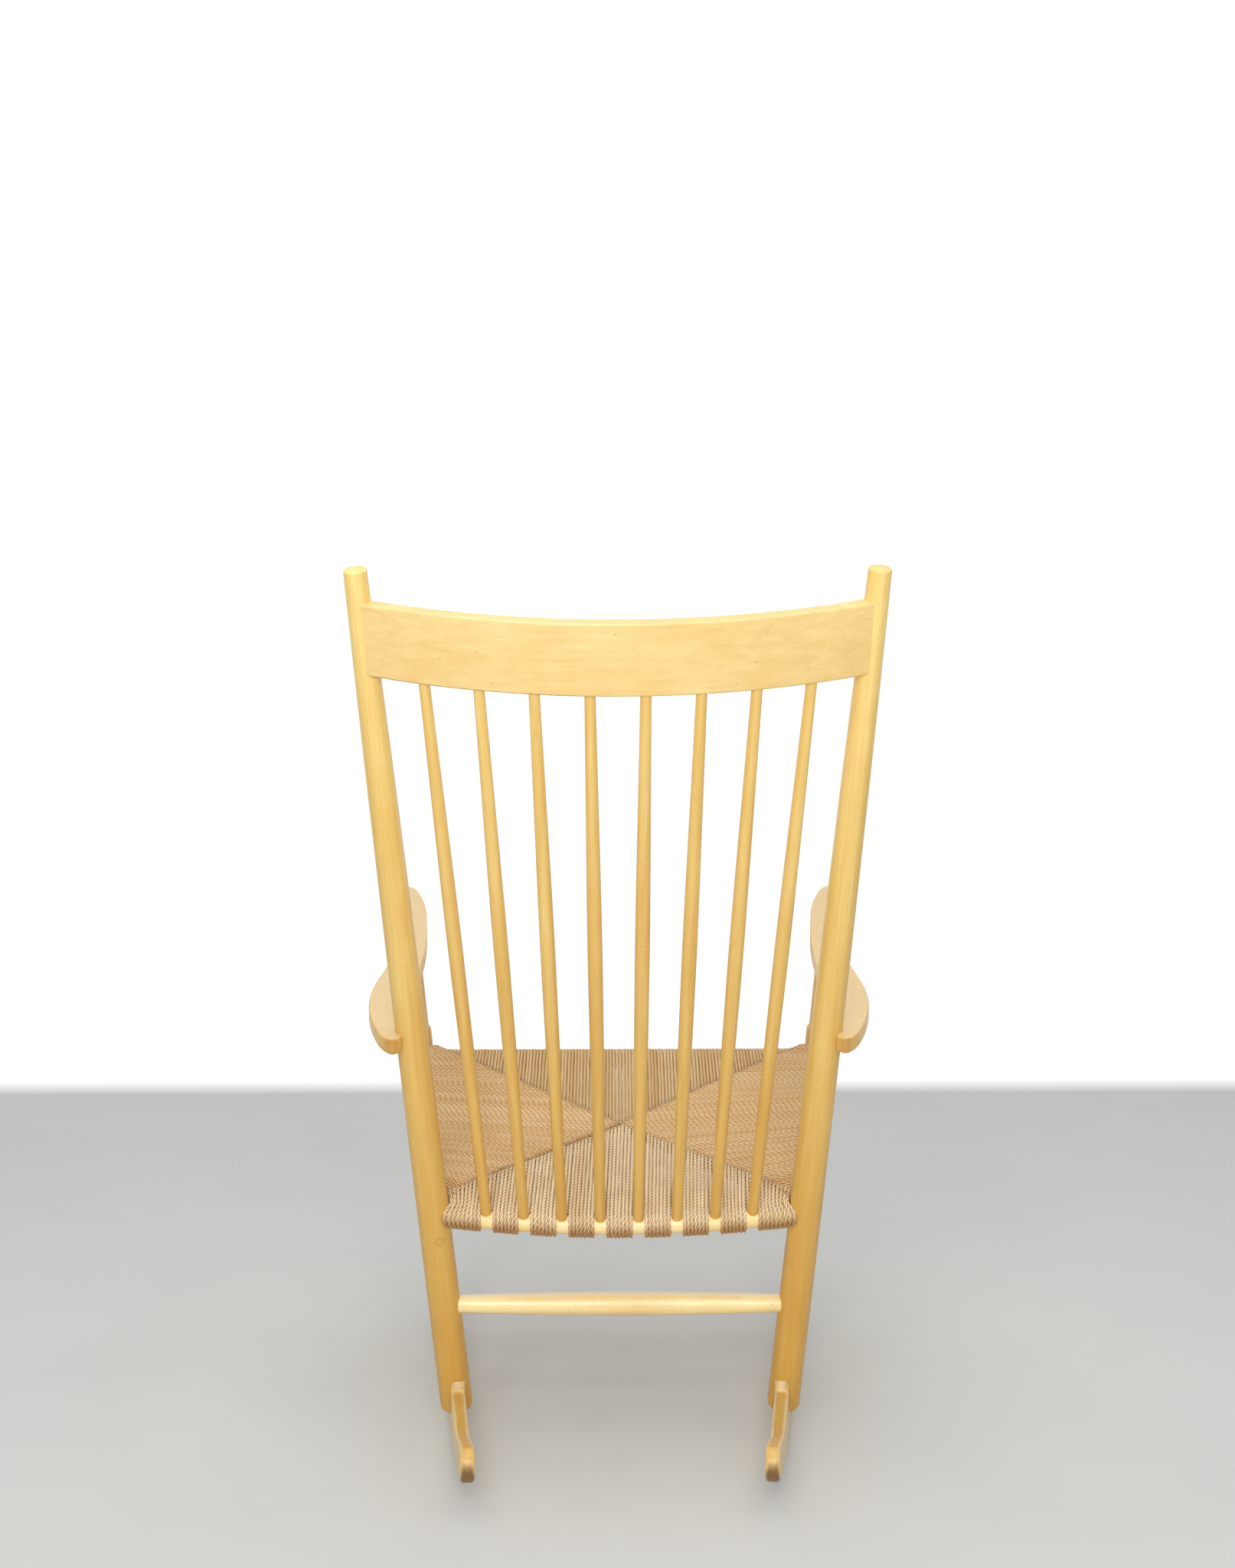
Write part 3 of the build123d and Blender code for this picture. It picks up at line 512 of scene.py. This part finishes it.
def front_cord(x):
    """A cord of the front quarter, that runs from the front rail toward the middle."""
    share = min(1.0, abs(x) / front_corner.x)
    plan, top, bottom = seam(share, front_corner, front_corner_top, front_corner_bottom)
    # Near a corner these cords lie under the side ones.
    under = front_tuck * max(0.0, share - front_tuck_from) / (1 - front_tuck_from)
    reach = plan.y - front_rail["y"]
    high, low = top - under - front_rail["z"], bottom - front_rail["z"]
    line = filled(round_rail(
        front_rail["radius"] + cord_radius, (reach - 2, low), (max(reach - 9, 2), high)))
    dive = [(reach - 4, high - 1.3), (reach, high - 3.6), (reach + 1.5, high - 7)]
    return [(x, front_rail["y"] + inward, front_rail["z"] + rise) for inward, rise in line + dive]


def side_cord(side, y):
    """A cord of a side quarter, that runs from the side rail toward the middle."""
    along = (y - side_rail["front"].y) / (side_rail["rear"].y - side_rail["front"].y)
    rail = side_rail["front"].lerp(side_rail["rear"], along)
    ahead = y < seat_middle.y
    corner = front_corner if ahead else rear_corner
    share = min(1.0, abs((y - seat_middle.y) / (corner.y - seat_middle.y)))
    if ahead:
        plan, top, bottom = seam(share, front_corner, front_corner_top, front_corner_bottom)
    else:
        plan, top, bottom = seam(share, rear_corner, rear_corner_top, rear_corner_bottom)
    reach = rail.x - plan.x
    high, low = top - rail.z, bottom - rail.z
    line = filled(round_rail(
        side_rail["radius"] + cord_radius, (reach - 2, low), (max(reach - 9, 2), high)))
    if ahead:
        dive = [(reach - 4, high, 0), (reach, high - 0.4, 0), (reach + 1.8, high - 2, 0),
                (reach + 2.4, high - 7, 0)]
    else:
        dive = [(reach - 5, high, 1.4), (reach - 1.5, high - 0.3, 3.4), (reach + 0.6, high - 1.8, 5),
                (reach + 1.2, high - 6.5, 5.6)]
    # The last cords fan out rearward, to close the corner beside the post.
    fan = side_fan * max(0.0, 1 - (side_rail["last"] - y) / side_fan_width) ** 1.5
    points = []
    for inward, rise, *aside in line + dive:
        onward = min(1.0, max(0.0, inward / max(reach, 1)))
        points.append((side * (rail.x - inward), y + sum(aside) + fan * onward, rail.z + rise))
    return points


def rear_axis(x):
    """The rear rail's axis at a place across the chair."""
    bend = rear_rail["bend"]
    bow = math.sqrt(bend**2 - x**2) - math.sqrt(bend**2 - rear_rail["half"] ** 2)
    return (rear_rail["y"] + bow * math.cos(rear_rail["slope"]),
            rear_rail["z"] - bow * math.sin(rear_rail["slope"]))


def rear_cord(x, lean=0.0, spread=0.0, turns_down=False):
    """A cord of the rear quarter. It wraps the rear rail, or at a spindle turns down ahead of it.
    lean carries it outward behind the rail, and spread at its front end."""
    axis_y, axis_z = rear_axis(x)
    share = min(1.0, abs(x) / rear_corner.x)
    plan, top, bottom = seam(share, rear_corner, rear_corner_top, rear_corner_bottom)
    reach = axis_y - plan.y
    high, low = top - axis_z, bottom - axis_z
    radius = rear_rail["radius"] + cord_radius
    ends = (reach - 2, low), (max(reach - 9, 3), high)
    if turns_down:
        line = filled(round_rail(radius - 2.4, *ends, middle=(radius + radius - 1.6, 0.4)))
    else:
        line = filled(round_rail(radius, *ends))
    line += [(reach - 4, high - 1.1), (reach, high - 3.2), (reach + 1.5, high - 7)]
    drift = spread - rear_drift * (1 - share**2)
    points, handled = [], []
    for inward, rise in line:
        onward = min(1.0, max(0.0, inward / max(reach, 1)))
        outer = max(0.0, -inward / radius)
        points.append((x + drift * onward + lean * outer, axis_y - inward, axis_z + rise))
        below = min(1.0, max(0.0, 0.45 - rise / radius))
        handled.append(outer * below)
    return points, handled


def places(count, first, last):
    """Evenly spaced places from first to last."""
    return [first + (last - first) * number / (count - 1) for number in range(count)]


guides = {name: [] for name in (
    "front_left", "front_right", "left_front", "left_rear", "right_front", "right_rear",
    "rear_left", "rear_right")}
# Front and side cords take a lower tone than the rear ones, partly their deeper colour and partly painted
# shade.
for x in places(front_cords, -front_rail["half"], front_rail["half"]):
    lay_cord(guides["front_left" if x > 0 else "front_right"], front_cord(x), paler=-0.1)
for side, name in ((1, "left"), (-1, "right")):
    for y in places(side_cords, side_rail["first"], side_rail["last"]):
        lay_cord(guides[name + ("_front" if y < seat_middle.y else "_rear")], side_cord(side, y), paler=-0.12)



def rear_half(x):
    """The piece that a cord of the rear quarter belongs to."""
    return guides["rear_left" if x > 0 else "rear_right"]


group_pitch = (spindle_places[1] - spindle_places[0] - 2 * bare_half) / rear_group_cords
for before, after in zip(spindle_places, spindle_places[1:]):
    first, last = before + bare_half + group_pitch / 2, after - bare_half - group_pitch / 2
    for x in places(rear_group_cords, first, last):
        lay_cord(rear_half(x), *rear_cord(x), paler=0.42)
for x in spindle_places:
    for place in places(gap_cords, x - group_pitch, x + group_pitch):
        lay_cord(rear_half(place), *rear_cord(place, turns_down=True), paler=0.42)
for side in (1, -1):
    for number, x in enumerate(places(rear_end_cords, rear_end_first, rear_end_last)):
        lean = side * rear_end_lean * (number / (rear_end_cords - 1)) ** 1.5
        lay_cord(rear_half(side), *rear_cord(side * x, lean=lean, spread=0.6 * lean), paler=0.35)


def twisting_tree():
    """Geometry nodes that lay a cord of three twisted plies along each line of a mesh."""
    tree = bpy.data.node_groups.new("three_ply_cord", "GeometryNodeTree")
    tree.interface.new_socket("Lines", in_out="INPUT", socket_type="NodeSocketGeometry")
    for name in ("Cord radius", "Lead", "Step"):
        tree.interface.new_socket(name, in_out="INPUT", socket_type="NodeSocketFloat")
    tree.interface.new_socket("Finish", in_out="INPUT", socket_type="NodeSocketMaterial")
    tree.interface.new_socket("Cords", in_out="OUTPUT", socket_type="NodeSocketGeometry")
    given = add(tree, "NodeGroupInput").outputs

    lines = add(tree, "GeometryNodeMeshToCurve", {0: given["Lines"]})
    ringed = add(tree, "GeometryNodeResampleCurve", {
        "Curve": lines.outputs[0], "Length": given["Step"],
    }, mode="LENGTH")
    travelled = add(tree, "GeometryNodeSplineParameter")
    own_turn = add(tree, "GeometryNodeInputNamedAttribute", {"Name": "cord_turn"}, data_type="FLOAT")
    turns = add(tree, "ShaderNodeMath", {
        0: travelled.outputs["Length"], 1: given["Lead"],
    }, operation="DIVIDE")
    angle = add(tree, "ShaderNodeMath", {
        0: turns.outputs[0], 1: 2 * math.pi, 2: own_turn.outputs[0],
    }, operation="MULTIPLY_ADD")
    turned = add(tree, "GeometryNodeSetCurveTilt", {
        "Curve": ringed.outputs[0], "Tilt": angle.outputs[0],
    })

    # The section: nine points, and every third one lies in a groove between two plies.
    section = add(tree, "GeometryNodeCurvePrimitiveCircle", {"Resolution": 9, "Radius": given["Cord radius"]})
    number = add(tree, "GeometryNodeInputIndex")
    third = add(tree, "ShaderNodeMath", {0: number.outputs[0], 1: 3.0}, operation="MODULO")
    on_ply = add(tree, "ShaderNodeMath", {0: third.outputs[0], 1: 0.5}, operation="GREATER_THAN")
    reach = add(tree, "ShaderNodeMapRange", {
        "Value": on_ply.outputs[0], "From Min": 0.0, "From Max": 1.0, "To Min": 0.7, "To Max": 1.05,
    })
    spot = add(tree, "GeometryNodeInputPosition")
    moved = add(tree, "ShaderNodeVectorMath", {
        0: spot.outputs[0], "Scale": reach.outputs[0],
    }, operation="SCALE")
    lobed = add(tree, "GeometryNodeSetPosition", {
        "Geometry": section.outputs[0], "Position": moved.outputs[0],
    })
    marked = add(tree, "GeometryNodeStoreNamedAttribute", {
        "Geometry": lobed.outputs[0], "Name": "ply", "Value": on_ply.outputs[0],
    }, data_type="FLOAT", domain="POINT")

    solid = add(tree, "GeometryNodeCurveToMesh", {
        "Curve": turned.outputs[0], "Profile Curve": marked.outputs[0], "Fill Caps": True,
    })
    smooth = add(tree, "GeometryNodeSetShadeSmooth", {"Geometry": solid.outputs[0]})
    real = add(tree, "GeometryNodeRealizeInstances", {"Geometry": smooth.outputs[0]})
    finished = add(tree, "GeometryNodeSetMaterial", {
        "Geometry": real.outputs[0], "Material": given["Finish"],
    })
    add(tree, "NodeGroupOutput", {0: finished.outputs[0]})
    return tree


def woven_piece(name, cords, tree, finish):
    """One piece of the seat: its cords laid out as lines, twisted by the tree and kept as a mesh."""
    points, edges, tones, turns, handled, sunk = [], [], [], [], [], []
    for cord in cords:
        first = len(points)
        points += [tuple(mm * value for value in point) for point in cord["points"]]
        edges += [(first + i, first + i + 1) for i in range(len(cord["points"]) - 1)]
        tones += [cord["tone"]] * len(cord["points"])
        turns += [cord["turn"]] * len(cord["points"])
        handled += cord["handled"]
        sunk += [max(0.0, 1 - left / 4) for left in range(len(cord["points"]) - 1, -1, -1)]
    lines = bpy.data.meshes.new(name + "_lines")
    lines.from_pydata(points, edges, [])
    for label, values in (("cord_tone", tones), ("cord_turn", turns), ("handled", handled), ("sunk", sunk)):
        lines.attributes.new(label, "FLOAT", "POINT").data.foreach_set("value", values)
    guide = bpy.data.objects.new(name + "_lines", lines)
    bpy.context.scene.collection.objects.link(guide)
    twist = guide.modifiers.new("twist", "NODES")
    twist.node_group = tree
    sizes = {
        "Cord radius": mm * cord_radius, "Lead": mm * cord_lead, "Step": mm * cord_step,
        "Finish": finish,
    }
    for item in tree.interface.items_tree:
        if item.in_out == "INPUT" and item.name in sizes:
            twist[item.identifier] = sizes[item.name]
    made = bpy.data.meshes.new_from_object(guide.evaluated_get(bpy.context.evaluated_depsgraph_get()))
    bpy.data.objects.remove(guide)
    bpy.data.meshes.remove(lines)
    made.name = name
    piece = bpy.data.objects.new(name, made)
    bpy.context.scene.collection.objects.link(piece)
    return piece


cord_tree = twisting_tree()
paper_cord = twisted_paper_cord()
for name, cords in guides.items():
    piece = woven_piece("seat_cords_" + name, cords, cord_tree, paper_cord)
    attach(piece, "root")
    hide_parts("weave_" + name.split("_")[0])

# ---------------------------------------------------------------- floor, light and camera
def studio_floor():
    """Pale grey polished screed with faint clouds. It turns white 1.5 m ahead of the chair."""
    made, tree, shader = blank_material("pale_floor")
    place = add(tree, "ShaderNodeTexCoord")
    clouds = add(tree, "ShaderNodeTexNoise", {
        "Vector": place.outputs["Object"], "Scale": 2.2, "Detail": 5.0, "Roughness": 0.6,
    })
    grey = add(tree, "ShaderNodeMix", {
        0: clouds.outputs["Fac"], 6: linear("#CBCCC9"), 7: linear("#BFC0BE"),
    }, data_type="RGBA")
    spot = add(tree, "ShaderNodeSeparateXYZ", {0: place.outputs["Object"]})
    ahead = add(tree, "ShaderNodeMapRange", {
        "Value": spot.outputs["Y"], "From Min": -1.6, "From Max": -1.5, "To Min": 1.0, "To Max": 0.0,
    })
    # Far from the chair on every side it takes the pale walls' tone.
    away = add(tree, "ShaderNodeVectorMath", {0: place.outputs["Object"]}, operation="LENGTH")
    far = add(tree, "ShaderNodeMapRange", {
        "Value": away.outputs["Value"], "From Min": 3.4, "From Max": 4.8, "To Min": 0.0, "To Max": 0.72,
    })
    shine = add(tree, "ShaderNodeMath", {0: ahead.outputs[0], 1: far.outputs[0]}, operation="MAXIMUM")
    sweep = add(tree, "ShaderNodeMix", {
        0: shine.outputs[0], 6: grey.outputs[2], 7: linear("#000000"),
    }, data_type="RGBA")
    tree.links.new(sweep.outputs[2], shader.inputs["Base Color"])
    tree.links.new(shine.outputs[0], shader.inputs["Emission Strength"])
    shader.inputs["Emission Color"].default_value = linear("#FBFBFB")
    shader.inputs["Roughness"].default_value = 0.55
    return made


half_floor = 40.0
floor_mesh = bpy.data.meshes.new("studio_floor")
floor_mesh.from_pydata(
    [(x * half_floor, y * half_floor, 0) for x, y in ((-1, -1), (1, -1), (1, 1), (-1, 1))],
    [], [(0, 1, 2, 3)])
floor_mesh.materials.append(studio_floor())
floor = bpy.data.objects.new("studio_floor", floor_mesh)
bpy.context.scene.collection.objects.link(floor)

world = bpy.data.worlds.new("white_studio")
bpy.context.scene.world = world
world.use_nodes = True
sky = world.node_tree
sky.nodes.clear()
toward = add(sky, "ShaderNodeTexCoord")
facing = add(sky, "ShaderNodeVectorMath", {
    0: toward.outputs["Generated"], 1: (0, -1, 0),
}, operation="DOT_PRODUCT")
# A white wall ahead of the chair, a pale one behind, darker sides and a dimmer ceiling.
wall = add(sky, "ShaderNodeMapRange", {
    "Value": facing.outputs["Value"], "From Min": 0.8, "From Max": 0.95, "To Min": 0.0, "To Max": 1.0,
})
climb = add(sky, "ShaderNodeSeparateXYZ", {0: toward.outputs["Generated"]})
room = add(sky, "ShaderNodeMapRange", {
    "Value": climb.outputs["Z"], "From Min": 0.1, "From Max": 1.0, "To Min": 0.72, "To Max": 0.34,
})
aside = add(sky, "ShaderNodeMath", {0: climb.outputs["X"]}, operation="ABSOLUTE")
beside = add(sky, "ShaderNodeMapRange", {
    "Value": aside.outputs[0], "From Min": 0.55, "From Max": 0.95, "To Min": 1.0, "To Max": 0.55,
})
walls = add(sky, "ShaderNodeMath", {0: room.outputs[0], 1: beside.outputs[0]}, operation="MULTIPLY")
strength = add(sky, "ShaderNodeMath", {0: wall.outputs[0], 1: walls.outputs[0]}, operation="MAXIMUM")
glow = add(sky, "ShaderNodeBackground", {"Color": (1, 1, 1, 1), "Strength": strength.outputs[0]})
add(sky, "ShaderNodeOutputWorld", {"Surface": glow.outputs[0]})


def soft_light(name, place, aim, width, power, shadows=True):
    """A square soft light that faces a point. One without shadows stands for light from all over."""
    lamp = bpy.data.lights.new(name, "AREA")
    lamp.size, lamp.energy, lamp.use_shadow = width, power, shadows
    made = bpy.data.objects.new(name, lamp)
    made.location = place
    made.rotation_euler = (Vector(aim) - Vector(place)).to_track_quat("-Z", "Y").to_euler()
    bpy.context.scene.collection.objects.link(made)


soft_light("window", (0.3, 4.4, 2.2), (0, 0, 0.5), 2.6, 125)
soft_light("overhead", (0, 0.3, 3.6), (0, 0, 0.3), 4.5, 95, shadows=False)

camera_data = bpy.data.cameras.new("camera")
camera_data.lens, camera_data.sensor_width = 63.62, 36.0
camera_data.shift_y = -0.1598
pitch, roll = math.radians(-3), math.radians(-0.16)
camera = bpy.data.objects.new("camera", camera_data)
camera.location = (0, 3.4347, 1.2696)
camera.rotation_euler = (
    Matrix.Rotation(math.pi, 3, "Z") @ Matrix.Rotation(math.pi / 2 + pitch, 3, "X")
    @ Matrix.Rotation(roll, 3, "Z")
).to_euler()
bpy.context.scene.collection.objects.link(camera)
bpy.context.scene.camera = camera
bpy.context.scene.view_settings.view_transform = "Standard"
